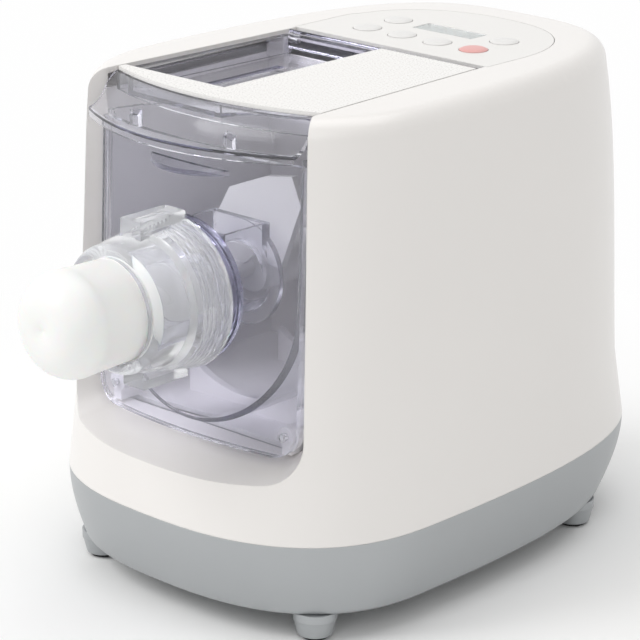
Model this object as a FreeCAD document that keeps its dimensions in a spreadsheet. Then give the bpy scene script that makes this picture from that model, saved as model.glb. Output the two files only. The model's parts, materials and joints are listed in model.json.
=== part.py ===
import FreeCAD, Part
import math
import os
import re
import Sketcher
from FreeCAD import Placement, Rotation, Vector

# Electric pasta maker, millimetres, +Z up, extruder towards -Y, feet on Z = 0.
# The origin is the middle of the whole machine's box, at the level it stands on.

SIZES = [
    ("body_height", 260),
    ("seam_height", 53),
    ("base_height", 11),
    ("widest_y", -21),
    ("wall", 3),
    ("seam_half_width", 109),
    ("seam_front", 93),
    ("seam_rear", 214),
    ("waist_height", 90),
    ("waist_half_width", 106.5),
    ("waist_front", 89),
    ("waist_rear", 207),
    ("shoulder_height", 180),
    ("shoulder_half_width", 103.2),
    ("shoulder_front", 85.8),
    ("shoulder_rear", 204.5),
    ("top_half_width", 98.5),
    ("top_front", 86),
    ("top_rear", 194.5),
    ("base_half_width", 102),
    ("base_front", 83),
    ("base_rear", 195),
    ("front_square_low", 2.56),
    ("front_square_top", 2.08),
    ("rear_square", 3.0),
    ("top_edge_radius", 11),
    ("base_edge_radius", 7),
    ("seam_tongue", 4),
    ("fit_gap", 0.3),
    ("panel_half_width", 69),
    ("panel_bottom", 90.5),
    ("panel_top", 235.5),
    ("panel_corner", 14),
    ("panel_thick", 3),
    ("panel_side_y", -82.5),
    ("panel_bow", 8),
    ("panel_lean", 7),
    ("recess_margin", 15.8),
    ("recess_depth", 60),
    ("opening_gap", 0.6),
    ("axis_height", 164.6),
    ("bowl_radius", 68),
    ("bowl_wall", 2.5),
    ("bowl_top", 238),
    ("bowl_rear_y", 44),
    ("flange_thick", 3),
    ("liner_half_width", 80),
    ("liner_wall", 2.5),
    ("liner_floor", 88),
    ("liner_rear_y", 53.5),
    ("liner_top", 247),
    ("hinge_y", 53),
    ("hinge_radius", 5),
    ("hinge_pin_radius", 1.5),
    ("lid_rear_half_width", 64.4),
    ("lid_front_half_width", 69.4),
    ("lid_front_y", -64.5),
    ("lid_front_bow", 13),
    ("lip_y", -85),
    ("lip_bow", 20),
    ("lip_height", 243),
    ("lip_drop", 4.5),
    ("lid_wall", 2),
    ("cover_thick", 2),
    ("tray_floor", 248),
    ("tray_front_y", -60),
    ("tray_rear_y", 48),
    ("tray_left_x", -60.5),
    ("tray_right_x", -0.5),
    ("deck_front_y", 59),
    ("deck_half_width", 66),
    ("deck_straight_y", 84),
    ("deck_rear_y", 148.5),
    ("deck_thick", 3),
    ("deck_ledge", 5),
    ("button_radius", 7.4),
    ("button_pitch", 24.3),
    ("button_row_y", 83),
    ("button_back_y", 107.3),
    ("button_travel", 1),
    ("button_rise", 1.2),
    ("display_width", 40.5),
    ("display_depth", 13.4),
    ("board_height", 246),
    ("board_thick", 1.6),
    ("board_width", 100),
    ("board_front_y", 70),
    ("board_rear_y", 121),
    ("barrel_radius", 20.5),
    ("barrel_bore", 16.6),
    ("barrel_rear_y", -46),
    ("barrel_flange_radius", 27),
    ("thread_radius", 26),
    ("hopper_half_width", 18.6),
    ("hopper_rise", 28.4),
    ("die_y", -128),
    ("die_thick", 5),
    ("nut_rear_y", -93),
    ("nut_front_y", -138),
    ("nut_radius", 37.5),
    ("nut_front_radius", 32),
    ("nut_opening", 22),
    ("nut_ridges", 6),
    ("grip_height", 42),
    ("grip_half_width", 7),
    ("cap_radius", 25.2),
    ("cap_tip_y", -181),
    ("cap_wall", 2.2),
    ("auger_radius", 15.8),
    ("auger_core", 5.5),
    ("auger_pitch", 19),
    ("shaft_radius", 5),
    ("shaft_front_y", 14),
    ("paddle_hub_radius", 12),
    ("paddle_reach", 60),
    ("case_split_y", 76),
    ("case_rear_y", 92),
    ("case_wall", 3),
    ("gear_module", 1.5),
    ("output_teeth", 60),
    ("small_teeth", 12),
    ("fast_module", 1.25),
    ("wheel_teeth", 56),
    ("mesh_slack", 0.15),
    ("wheel_shaft_radius", 4),
    ("motor_shaft_radius", 4),
    ("motor_radius", 36),
    ("motor_rear_y", 166),
    ("foot_radius", 11),
    ("foot_x", 76),
    ("foot_front_y", -76),
    ("foot_rear_y", 125),
    ("screw_radius", 1.75),
    ("screw_head_radius", 3.4),
]

doc = FreeCAD.newDocument("PastaMaker")
sheet = doc.addObject("Spreadsheet::Sheet", "Sizes")
for row, (alias, number) in enumerate(SIZES, start=1):
    sheet.set(f"A{row}", alias)
    sheet.set(f"B{row}", str(number))
    sheet.setAlias(f"B{row}", alias)
doc.recompute()


class Dimensions:
    """The sheet's cells as plain numbers, read by alias."""

    def __getattr__(self, alias):
        return float(sheet.get(alias))


d = Dimensions()
nodes = []


def bound(text):
    """Point every size name in an expression at the sheet."""
    return re.sub(r"[a-z][a-z_]*[a-z]", lambda word: "Sizes." + word.group(0), text)


# Derived places that several pieces share
wheel_height = d.axis_height - (d.output_teeth + d.small_teeth) * d.gear_module / 2 - d.mesh_slack
motor_height = wheel_height - (d.wheel_teeth + d.small_teeth) * d.fast_module / 2 - d.mesh_slack
hinge_height = d.body_height - d.hinge_radius
deck_under = d.body_height - d.deck_thick
board_top = d.board_height + d.board_thick
button_places = [
    ("left_outer_button", -1.5 * d.button_pitch, d.button_row_y),
    ("left_inner_button", -0.5 * d.button_pitch, d.button_row_y),
    ("right_inner_button", 0.5 * d.button_pitch, d.button_row_y),
    ("start_button", 1.5 * d.button_pitch, d.button_row_y),
    ("left_rear_button", -1.5 * d.button_pitch, d.button_back_y),
    ("right_rear_button", 1.5 * d.button_pitch, d.button_back_y),
]
foot_places = [
    (side * d.foot_x, y) for side in (-1, 1) for y in (d.foot_front_y, d.foot_rear_y)
]
post_places = [
    (side * x, y) for side in (-1, 1) for x, y in ((86, -30), (86, 75), (46, 150))
]
display_y = d.button_back_y - 0.6
head_height = 2.2
small_scale = 0.6


# Sketch and body helpers

def new_body(label):
    body = doc.addObject("PartDesign::Body", label)
    body.Label = label
    nodes.append(body)
    return body


def sketch_in(body, role):
    plane = next(item for item in body.Origin.OriginFeatures if item.Role == role)
    sketch = body.newObject("Sketcher::SketchObject", body.Label + "_sketch")
    sketch.AttachmentSupport = [(plane, "")]
    sketch.MapMode = "FlatFace"
    return sketch


def fix_point(sketch, geometry, end, across, up):
    """Hold one point at two sizes taken from the sheet."""
    for kind, text in (("DistanceX", across), ("DistanceY", up)):
        index = sketch.addConstraint(Sketcher.Constraint(kind, -1, 1, geometry, end, 1.0))
        sketch.setExpression(f"Constraints[{index}]", bound(text))


def outline(sketch, points):
    """A closed outline of straight lines through points given as expressions."""
    count = len(points)
    first = sketch.GeometryCount
    for step in range(count):
        turn = 2 * math.pi / count
        start = Vector(50 + 20 * math.cos(step * turn), 50 + 20 * math.sin(step * turn), 0)
        end = Vector(50 + 20 * math.cos((step + 1) * turn), 50 + 20 * math.sin((step + 1) * turn), 0)
        sketch.addGeometry(Part.LineSegment(start, end), False)
    for step in range(count):
        after = first + (step + 1) % count
        sketch.addConstraint(Sketcher.Constraint("Coincident", first + step, 2, after, 1))
    for step, (across, up) in enumerate(points):
        fix_point(sketch, first + step, 1, across, up)


def circle(sketch, across, up, radius):
    index = sketch.addGeometry(Part.Circle(Vector(1, 1, 0), Vector(0, 0, 1), 5), False)
    fix_point(sketch, index, 3, across, up)
    rule = sketch.addConstraint(Sketcher.Constraint("Radius", index, 5.0))
    sketch.setExpression(f"Constraints[{rule}]", bound(radius))


def turned(label, points, upright=False):
    """A body of revolution: (radius, along) points about the Y axis, or about Z if upright."""
    body = new_body(label)
    sketch = sketch_in(body, "XZ_Plane" if upright else "XY_Plane")
    outline(sketch, points)
    spin = body.newObject("PartDesign::Revolution", label + "_turned")
    spin.Profile = sketch
    spin.ReferenceAxis = (sketch, ["V_Axis"])
    spin.Angle = 360
    sketch.Visibility = False
    return body


def padded(label, role, length, points=(), holes=()):
    """A plate: an outline, or circles alone, pushed to a length from an origin plane."""
    body = new_body(label)
    sketch = sketch_in(body, role)
    if points:
        outline(sketch, points)
    for across, up, radius in holes:
        circle(sketch, across, up, radius)
    pad = body.newObject("PartDesign::Pad", label + "_pad")
    pad.Profile = sketch
    pad.setExpression("Length", bound(length))
    sketch.Visibility = False
    return body


def place(body, x="0", y="0", z="0"):
    for axis, text in (("x", x), ("y", y), ("z", z)):
        body.setExpression(f"Placement.Base.{axis}", bound(text))


def shaped(label, shape):
    """A piece whose form is worked out in code from the sheet's sizes."""
    feature = doc.addObject("Part::Feature", label)
    feature.Label = label
    feature.Shape = shape
    feature.Placement = Placement()
    nodes.append(feature)
    return feature


# Shape helpers

def box(x0, x1, y0, y1, z0, z1):
    return Part.makeBox(x1 - x0, y1 - y0, z1 - z0, Vector(x0, y0, z0))


def post(x, y, z0, z1, radius):
    return Part.makeCylinder(radius, z1 - z0, Vector(x, y, z0))


def rod(x, z, y0, y1, radius):
    return Part.makeCylinder(radius, y1 - y0, Vector(x, y0, z), Vector(0, 1, 0))


def ring(x, z, y0, y1, radius, bore):
    return rod(x, z, y0, y1, radius).cut(rod(x, z, y0 - 1, y1 + 1, bore))


def fused(shapes):
    first, *rest = shapes
    return first.fuse(rest).removeSplitter() if rest else first


def blend(low, high, share):
    return low + (high - low) * share


def plan_curve(half_width, front, rear, square_front, square_rear, height):
    """One level of the body: a squared oval about the widest line, front to rear."""
    count = 28
    points = []
    for step in range(count):
        angle = 2 * math.pi * step / count
        across, along = math.sin(angle), -math.cos(angle)
        square = square_front if along < 0 else square_rear
        reach = front if along < 0 else rear
        x = half_width * math.copysign(abs(across) ** (2 / square), across)
        y = d.widest_y + reach * math.copysign(abs(along) ** (2 / square), along)
        points.append(Vector(x, y, height))
    curve = Part.BSplineCurve()
    curve.interpolate(Points=points, PeriodicFlag=True)
    return Part.Wire(curve.toShape())


def upper_sizes(height):
    """Half width, front reach, rear reach and front squareness of the housing at a height."""
    seam = (d.seam_half_width, d.seam_front, d.seam_rear)
    waist = (d.waist_half_width, d.waist_front, d.waist_rear)
    shoulder = (d.shoulder_half_width, d.shoulder_front, d.shoulder_rear)
    top = (d.top_half_width, d.top_front, d.top_rear)
    if height <= d.waist_height:
        share = (height - d.seam_height) / (d.waist_height - d.seam_height)
        share = share * share * (3 - 2 * share)
        low, high = seam, waist
    elif height <= d.shoulder_height:
        share = (height - d.waist_height) / (d.shoulder_height - d.waist_height)
        low, high = waist, shoulder
    else:
        share = ((height - d.shoulder_height) / (d.body_height - d.shoulder_height)) ** 1.6
        low, high = shoulder, top
    width, front, rear = (blend(start, end, share) for start, end in zip(low, high))
    rise = (height - d.seam_height) / (d.body_height - d.seam_height)
    return width, front, rear, blend(d.front_square_low, d.front_square_top, rise)


def upper_level(height, inset):
    """The housing's outline at a height, drawn in by an inset."""
    width, front, rear, square = upper_sizes(height)
    return plan_curve(width - inset, front - inset, rear - inset, square, d.rear_square, height)


def side_x(y, height):
    """How far out the housing's side stands at a place along the body."""
    width, front, rear, square = upper_sizes(height)
    if y < d.widest_y:
        along, power = (d.widest_y - y) / front, square
    else:
        along, power = (y - d.widest_y) / rear, d.rear_square
    return width * (1 - along ** power) ** (1 / power)


def housing_block(inset, bottom, top, edge):
    """The housing as a solid block, its top edge rounded."""
    lower = [bottom, blend(bottom, d.waist_height, 0.5), d.waist_height]
    upper = [d.waist_height, blend(d.waist_height, d.shoulder_height, 0.5), d.shoulder_height]
    upper += [blend(d.shoulder_height, top, share) for share in (0.5, 1)]
    foot, head = (Part.makeLoft([upper_level(height, inset) for height in heights], True, False)
                  for heights in (lower, upper))
    block = foot.fuse(head)
    if edge <= 0:
        return block
    rims = [rim for rim in block.Edges if abs(rim.BoundBox.ZMin - top) < 0.01
            and abs(rim.BoundBox.ZMax - top) < 0.01]
    return block.makeFillet(edge, rims)


def base_level(height, inset):
    share = (height - d.base_height) / (d.seam_height - d.base_height)
    swell = math.sin(share * math.pi / 2)
    width = blend(d.base_half_width, d.seam_half_width, swell)
    front = blend(d.base_front, d.seam_front, swell)
    rear = blend(d.base_rear, d.seam_rear, swell)
    return plan_curve(width - inset, front - inset, rear - inset, d.front_square_low, d.rear_square, height)


def base_block(inset, bottom, top, edge):
    """The base as a solid block, its bottom edge rounded: one loft through evenly spaced levels."""
    count = 12
    levels = []
    for step in range(count + 1):
        height = blend(bottom, top, step / count)
        rise = min(height - bottom, edge)
        levels.append(base_level(height, inset + edge - math.sqrt(max(0, edge ** 2 - (edge - rise) ** 2))))
    return Part.makeLoft(levels, True, False)


def front_outline(half_width, bottom, top, corner, y):
    """An upright outline in the front view, its two lower corners rounded."""
    left, right = -half_width, half_width
    edges = [
        Part.LineSegment(Vector(left, y, top), Vector(left, y, bottom + corner)),
        Part.Arc(Vector(left, y, bottom + corner),
                 Vector(left + corner * (1 - math.sqrt(0.5)), y, bottom + corner * (1 - math.sqrt(0.5))),
                 Vector(left + corner, y, bottom)),
        Part.LineSegment(Vector(left + corner, y, bottom), Vector(right - corner, y, bottom)),
        Part.Arc(Vector(right - corner, y, bottom),
                 Vector(right - corner * (1 - math.sqrt(0.5)), y, bottom + corner * (1 - math.sqrt(0.5))),
                 Vector(right, y, bottom + corner)),
        Part.LineSegment(Vector(right, y, bottom + corner), Vector(right, y, top)),
        Part.LineSegment(Vector(right, y, top), Vector(left, y, top)),
    ]
    return Part.Wire([edge.toShape() for edge in edges])


def front_block(half_width, bottom, top, corner, y0, y1):
    return Part.Face(front_outline(half_width, bottom, top, corner, y0)).extrude(Vector(0, y1 - y0, 0))


def bowed_slab(ahead, behind, half_width):
    """The space between two bowed, leaning sheets: offsets in Y from the front panel's outer face."""
    low = d.panel_bottom - 30
    high = d.body_height + 20
    lean = d.panel_lean / (d.panel_top - d.panel_bottom)

    def arc(offset):
        side = d.panel_side_y + offset + lean * (low - d.panel_bottom)
        sag = d.panel_bow * (half_width / d.panel_half_width) ** 2
        middle = Vector(0, side - d.panel_bow, low)
        edge_y = side - d.panel_bow + sag
        return Part.Arc(Vector(-half_width, edge_y, low), middle, Vector(half_width, edge_y, low))

    front, back = arc(ahead), arc(behind)
    sides = [
        Part.LineSegment(front.EndPoint, back.EndPoint),
        Part.LineSegment(back.StartPoint, front.StartPoint),
    ]
    wire = Part.Wire([front.toShape(), sides[0].toShape(), back.toShape(), sides[1].toShape()])
    return Part.Face(wire).extrude(Vector(0, lean * (high - low), high - low))


def panel_face_y(height):
    """The front panel's outer face on the middle line at a height."""
    lean = d.panel_lean / (d.panel_top - d.panel_bottom)
    return d.panel_side_y - d.panel_bow + lean * (height - d.panel_bottom)


def deck_outline(inset, height):
    """The control panel's outline: straight front and sides, rounded rear."""
    half = d.deck_half_width - inset
    front = d.deck_front_y + inset
    depth = d.deck_rear_y - d.deck_straight_y - inset
    round_points = []
    for step in range(13):
        angle = math.pi * step / 12
        x = half * math.copysign(abs(math.cos(angle)) ** 0.86, math.cos(angle))
        y = d.deck_straight_y + depth * math.sin(angle) ** 0.86
        round_points.append(Vector(x, y, height))
    rear = Part.BSplineCurve()
    rear.interpolate(Points=round_points, InitialTangent=Vector(0, 1, 0), FinalTangent=Vector(0, -1, 0))
    corners = [round_points[-1], Vector(-half, front, height), Vector(half, front, height), round_points[0]]
    edges = [rear.toShape()]
    edges += [Part.makeLine(start, end) for start, end in zip(corners, corners[1:])]
    return Part.Wire(edges)


def deck_block(inset, bottom, top):
    return Part.Face(deck_outline(inset, bottom)).extrude(Vector(0, 0, top - bottom))


def lid_plan(grow, rear_y, front_y, bow, bottom, top):
    """The lid's outline from above: sides that spread forwards and a bowed front."""
    spread = (d.lid_front_half_width - d.lid_rear_half_width) / (d.hinge_y - d.lid_front_y)
    rear_half = d.lid_rear_half_width + grow + spread * (d.hinge_y - rear_y)
    front_half = d.lid_rear_half_width + grow + spread * (d.hinge_y - front_y)
    front_right = Vector(front_half, front_y, bottom)
    front_left = Vector(-front_half, front_y, bottom)
    rear_right = Vector(rear_half, rear_y, bottom)
    rear_left = Vector(-rear_half, rear_y, bottom)
    if bow > 0:
        front = Part.Arc(front_left, Vector(0, front_y - bow, bottom), front_right).toShape()
    else:
        front = Part.makeLine(front_left, front_right)
    edges = [front, Part.makeLine(front_right, rear_right), Part.makeLine(rear_right, rear_left)]
    edges.append(Part.makeLine(rear_left, front_left))
    return Part.Face(Part.Wire(edges)).extrude(Vector(0, 0, top - bottom))


def screw(x, y, z, length, direction, scale=1):
    """A pan head screw: its head's outer face at (x, y, z), pointing along direction."""
    start = Vector(x, y, z)
    head = Part.makeCylinder(d.screw_head_radius * scale, head_height * scale, start, direction)
    shank = Part.makeCylinder(d.screw_radius * scale, length, start, direction)
    socket = Part.makeCylinder(1.3 * scale, 1.1 * scale, start, direction)
    return head.fuse(shank).removeSplitter().cut(socket)


def gear(module, teeth, tooth_angle, x, z, y0, y1, bore):
    """A spur gear about Y with stub involute teeth; one tooth points at tooth_angle in degrees."""
    pressure = math.radians(25)
    pitch = module * teeth / 2
    base = pitch * math.cos(pressure)
    tip = pitch + 0.8 * module
    root = pitch - 1.1 * module
    backlash = 0.12
    half_tooth = math.pi / (2 * teeth) - backlash / pitch + math.tan(pressure) - pressure

    def half_angle(radius):
        if radius <= base:
            return half_tooth
        roll = math.acos(base / radius)
        return half_tooth - (math.tan(roll) - roll)

    flank = [root] + [blend(max(base, root), tip, share) for share in (0, 1 / 3, 2 / 3, 1)]
    if base <= root:
        flank = flank[1:]
    points = []
    for tooth in range(teeth):
        middle = math.radians(tooth_angle) + 2 * math.pi * tooth / teeth
        rising = [(radius, middle - half_angle(radius)) for radius in flank]
        falling = [(radius, middle + half_angle(radius)) for radius in reversed(flank)]
        points += [Vector(x + r * math.cos(a), y0, z + r * math.sin(a)) for r, a in rising + falling]
    disc = Part.Face(Part.makePolygon(points + points[:1])).extrude(Vector(0, y1 - y0, 0))
    return disc.cut(rod(x, z, y0 - 1, y1 + 1, bore))


# Housing: the white upper shell

def front_recess(grow):
    """The soft recess round the front panel, widening forwards."""
    inner_half = d.panel_half_width + d.opening_gap + grow
    inner_bottom = d.panel_bottom - d.opening_gap - grow
    back_y = d.panel_side_y + 12
    front_y = back_y - d.recess_depth
    outer_half = inner_half + 2.2 * d.recess_margin
    outer_bottom = inner_bottom - d.recess_margin
    wires = [
        front_outline(inner_half, inner_bottom, d.body_height + 30, d.panel_corner + grow, back_y),
        front_outline(outer_half, outer_bottom, d.body_height + 30, d.panel_corner + d.recess_margin, front_y),
    ]
    return Part.makeLoft(wires, True, True)


def make_housing():
    outer = housing_block(0, d.seam_height, d.body_height, d.top_edge_radius)
    inner = housing_block(d.wall, d.seam_height - 1, d.body_height - d.wall, d.top_edge_radius - d.wall)
    lid_opening = lid_plan(d.opening_gap, d.deck_front_y, d.widest_y - d.seam_front - 20, 0,
                           d.body_height - 2 * d.top_edge_radius, d.body_height + 5)
    deck_pocket = deck_block(-d.fit_gap, deck_under, d.body_height + 5)
    inlet = rod(0, inlet_height, inlet_wall_y - 20, inlet_wall_y + 20, inlet_bore)
    shell = outer.cut([inner.cut(front_recess(d.wall)), front_recess(0), lid_opening, deck_pocket, inlet])
    ledge = deck_block(-d.wall, deck_under - d.wall, deck_under).cut([
        deck_block(d.deck_ledge, deck_under - 20, d.body_height + 5),
        box(-200, 200, 0, d.deck_front_y, 0, 300)])
    parts = [ledge]
    post_top = d.seam_height + 45
    for x, y in post_places:
        wall_x = math.copysign(side_x(y, post_top) - d.wall / 3, x)
        rib = box(min(x, wall_x), max(x, wall_x), y - 1.2, y + 1.2, post_top - 25, post_top)
        stem = post(x, y, d.seam_height, post_top, 5).fuse(rib)
        parts.append(stem.cut(post(x, y, 0, d.seam_height + 20, d.screw_radius + 0.05)))
    return shell.fuse(parts).removeSplitter()


inlet_height = d.waist_height + 12
inlet_wall_y = d.widest_y + upper_sizes(inlet_height)[2]
inlet_bore = 7.3
shaped("housing_shell", make_housing())


# Base: the silver lower shell with its floor, foot bosses, screw posts and motor cradle

floor_top = d.base_height + d.wall
board_posts = [(side * 42, y) for side in (-1, 1) for y in (-66, 26)]
cradle_places = [d.case_rear_y + 22, d.motor_rear_y - 14]


def seam_block(inset, bottom, top):
    """An upright block under the seam's outline, drawn in by an inset."""
    outline_wire = plan_curve(d.seam_half_width - inset, d.seam_front - inset, d.seam_rear - inset,
                              d.front_square_low, d.rear_square, bottom)
    return Part.Face(outline_wire).extrude(Vector(0, 0, top - bottom))


def make_base():
    step = d.seam_height - 2 * d.seam_tongue
    tip = d.seam_height + d.seam_tongue - 1
    lean = max(low - high for low, high in zip(upper_sizes(d.seam_height)[:3], upper_sizes(tip)[:3]))
    block = base_block(0, d.base_height, d.seam_height, d.base_edge_radius)
    block = block.fuse(seam_block(d.wall + 2 * d.fit_gap + lean, step, tip))
    hollows = [base_block(d.wall, floor_top, step, d.base_edge_radius - d.wall),
               seam_block(2 * d.wall, step - 1, tip + 1)]
    for x, y in post_places:
        hollows.append(post(x, y, 0, floor_top + 1, d.screw_head_radius + 0.5))
    for x, y in foot_places:
        hollows.append(post(x, y, d.base_height - 1, d.base_height + 1.5, d.foot_radius - 2))
    for slot in range(7):
        y = 75 + 9 * slot
        hollows.append(box(-32, 32, y - 1.6, y + 1.6, d.base_height - 2, floor_top + 0.5))
    shell = block.cut(hollows)
    parts = []
    for x, y in post_places:
        stem = post(x, y, floor_top - 1, d.seam_height, 5)
        stem = stem.cut(post(x, y, 0, d.seam_height + 1, d.screw_radius + 0.5))
        parts.append(stem.cut(post(x, y, 0, d.base_height + 8, d.screw_head_radius + 0.5)))
    for x, y in board_posts:
        stem = post(x, y, floor_top - 1, power_board_height, 3)
        parts.append(stem.cut(post(x, y, floor_top, power_board_height + 1, d.screw_radius * small_scale)))
    for y in cradle_places:
        parts.append(box(-30, 30, y - 2, y + 2, floor_top - 1, motor_height - 18).cut(
            rod(0, motor_height, y - 5, y + 5, d.motor_radius + d.fit_gap)))
    return shell.fuse(parts).removeSplitter()


power_board_height = floor_top + 10
shaped("base_shell", make_base())


# Feet: silver cups that hug the rounded bottom edge, with rubber pads

def make_feet():
    block = base_block(-d.fit_gap, d.base_height, d.seam_height, d.base_edge_radius)
    cups = []
    for x, y in foot_places:
        cup = Part.makeCone(d.foot_radius - 2.2, d.foot_radius, d.base_height - 2, Vector(x, y, 2))
        spigot = post(x, y, d.base_height, d.base_height + 1.3, d.foot_radius - 2.3)
        collar = post(x, y, d.base_height - 1, d.base_height + d.base_edge_radius / 2, d.foot_radius).cut(block)
        cups.append(cup.fuse([collar, spigot]).removeSplitter().cut(post(x, y, 1, 3.5, d.foot_radius - 4)))
    return Part.makeCompound(cups)


shaped("feet", make_feet())
shaped("foot_pads", Part.makeCompound([post(x, y, 0, 3.5, d.foot_radius - 4.05) for x, y in foot_places]))
shaped("base_screws", Part.makeCompound(
    [screw(x, y, d.base_height + 5.7, d.seam_height - d.base_height + 8, Vector(0, 0, 1))
     for x, y in post_places]))


# Chamber liner: the white inner box that carries bowl, gearbox and hinge

liner_inner = d.liner_half_width - d.liner_wall
boss_places = [(side * 58.5, d.panel_bottom + 9.5) for side in (-1, 1)]
boss_gap = 1.15  # the flange is bowed, so the flat boss ends stay behind it
liner_front_y = d.panel_side_y + 16.5
saddle_places = [d.bowl_rear_y - 24, liner_front_y + 22]
liner_side_top = d.liner_top
seal_bore = 9
switch_x = 40
switch_y = (d.bowl_rear_y + d.liner_rear_y - d.liner_wall) / 2
case_radius = d.output_teeth * d.gear_module / 2 + 6.5
wheel_case_radius = d.wheel_teeth * d.fast_module / 2 + 6
case_ears = [(side * x, z) for side in (-1, 1)
             for x, z in ((case_radius - 5.5, d.axis_height + case_radius - 16), (wheel_case_radius + 6, wheel_height + 9))]
case_joints = [(0, d.axis_height + case_radius + 3.5), (-wheel_case_radius - 4, wheel_height + 21),
               (wheel_case_radius + 4, wheel_height + 21)]


def flange_back_y(x, height):
    """The rear face of the bowl's front flange at a place."""
    side = d.panel_bow * (x / d.panel_half_width) ** 2
    return panel_face_y(height) + side + d.panel_thick + d.fit_gap + d.flange_thick


def make_liner():
    rear_front = d.liner_rear_y - d.liner_wall
    outer = box(-d.liner_half_width, d.liner_half_width, liner_front_y, d.liner_rear_y,
                d.liner_floor, liner_side_top)
    inner = box(-liner_inner, liner_inner, liner_front_y - 1, rear_front,
                d.liner_floor + d.liner_wall, liner_side_top + 1)
    liner = outer.cut(inner)
    liner = liner.cut(box(-d.lid_rear_half_width - 1, d.lid_rear_half_width + 1, rear_front - 1,
                          d.liner_rear_y + 1, d.liner_top, 300))
    parts = []
    for side in (-1, 1):
        near = side * (d.lid_rear_half_width + 0.8)
        far = side * liner_inner
        parts.append(box(min(near, far), max(near, far), d.hinge_y - 5, d.hinge_y + 0.5,
                         hinge_height - 10, d.body_height - d.wall - d.fit_gap))
    for x, z in boss_places:
        back = flange_back_y(x, z)
        parts.append(rod(x, z, back + boss_gap, liner_front_y + 8, 5))
        parts.append(box(x - 2.5, x + 2.5, back + boss_gap, liner_front_y + 8, d.liner_floor + d.liner_wall, z))
    bowl_space = rod(0, d.axis_height, liner_front_y, rear_front, d.bowl_radius + d.fit_gap)
    for y in saddle_places:
        parts.append(box(-40, 40, y - 2, y + 2, d.liner_floor + 1, d.axis_height - 40).cut(bowl_space))
    liner = liner.fuse(parts)
    for x, z in boss_places:
        liner = liner.cut(rod(x, z, flange_back_y(x, z) - 1, liner_front_y + 6, d.screw_radius + 0.05))
    for side in (-1, 1):
        liner = liner.cut(Part.makeCylinder(d.hinge_pin_radius + 0.03, 12,
                                            Vector(side * 62, d.hinge_y, hinge_height), Vector(side, 0, 0)))
    liner = liner.cut(rod(0, d.axis_height, rear_front - 1, d.liner_rear_y + 1, d.shaft_radius + 3))
    for x, z in case_ears:
        liner = liner.cut(rod(x, z, rear_front - 1, d.liner_rear_y + 1, d.screw_radius + 0.05))
    return liner.removeSplitter()


shaped("chamber_liner", make_liner())


# Mixing bowl: the clear trough with its front flange and rear wall

def trough(radius, y0, y1, top):
    return rod(0, d.axis_height, y0, y1, radius).fuse(
        box(-radius, radius, y0, y1, d.axis_height, top)).removeSplitter()


def make_bowl():
    inner_radius = d.bowl_radius - d.bowl_wall
    hollow = trough(inner_radius, -200, d.bowl_rear_y - d.bowl_wall, d.bowl_top + 20)
    shell = trough(d.bowl_radius, -120, d.bowl_rear_y, d.bowl_top)
    flange = front_block(d.panel_half_width, d.panel_bottom, d.bowl_top, d.panel_corner, -130, -50)
    start = d.panel_thick + d.fit_gap
    flange = flange.common(bowed_slab(start, start + d.flange_thick, d.panel_half_width + 10))
    shell = shell.cut(bowed_slab(-80, start, d.panel_half_width + 10))
    bowl = shell.fuse(flange).cut(hollow)
    collar = ring(0, d.axis_height, d.bowl_rear_y - d.bowl_wall - 3, d.bowl_rear_y - 1, seal_bore + 3, seal_bore)
    bowl = bowl.fuse(collar).cut(rod(0, d.axis_height, 30, 60, seal_bore))
    for x, z in boss_places:
        bowl = bowl.cut(rod(x, z, -120, -50, d.screw_radius + 0.3))
    return bowl.removeSplitter()


shaped("mixing_bowl", make_bowl())


def make_bowl_screws():
    screws = []
    for x, z in boss_places:
        front = flange_back_y(x, z) - d.flange_thick
        shank = rod(x, z, front + 0.4, front + 13, d.screw_radius)
        screws.append(shank)
    return Part.makeCompound(screws)


shaped("bowl_screws", make_bowl_screws())

turned("shaft_seal", [
    ("shaft_radius + 0.1", "bowl_rear_y - 5.4"),
    ("8.9", "bowl_rear_y - 5.4"),
    ("8.9", "bowl_rear_y + 0.2"),
    ("10.5", "bowl_rear_y + 0.2"),
    ("10.5", "bowl_rear_y + 1.6"),
    ("shaft_radius + 0.1", "bowl_rear_y + 1.6"),
])
place(nodes[-1], z="axis_height")


# Front panel, extruder barrel and its seal: they pull off together

def make_front_panel():
    panel = front_block(d.panel_half_width, d.panel_bottom, d.panel_top, d.panel_corner, -130, -50)
    panel = panel.common(bowed_slab(0, d.panel_thick, d.panel_half_width + 10))
    face_y = panel_face_y(d.axis_height)
    collar = rod(0, d.axis_height, d.nut_rear_y + d.fit_gap, face_y + 5, d.nut_radius - 0.5)
    collar = collar.cut(bowed_slab(1, 30, d.panel_half_width + 10))
    ledge_height = d.panel_top - 8
    ledge_y = panel_face_y(ledge_height) + 1.5
    arc = Part.Arc(Vector(-27, ledge_y, ledge_height), Vector(0, ledge_y - 14, ledge_height),
                   Vector(27, ledge_y, ledge_height)).toShape()
    chord = Part.makeLine(Vector(27, ledge_y, ledge_height), Vector(-27, ledge_y, ledge_height))
    shelf = Part.Face(Part.Wire([arc, chord])).extrude(Vector(0, 0, -2.5))
    shelf = shelf.cut(bowed_slab(1.5, 30, d.panel_half_width + 10))
    boss = rod(0, d.axis_height, face_y + 1, barrel_seat_y, d.barrel_flange_radius + 4)
    boss = boss.cut(bowed_slab(-30, 1, d.panel_half_width + 10))
    panel = panel.fuse([collar, shelf, boss])
    panel = panel.cut(rod(0, d.axis_height, -130, -50, d.thread_radius + d.fit_gap))
    return panel.removeSplitter()


barrel_seat_y = panel_face_y(d.axis_height) + d.panel_thick + 1.8
shaped("front_panel", make_front_panel())


seal_radii = (d.barrel_flange_radius + 1.5, d.barrel_flange_radius)


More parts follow.
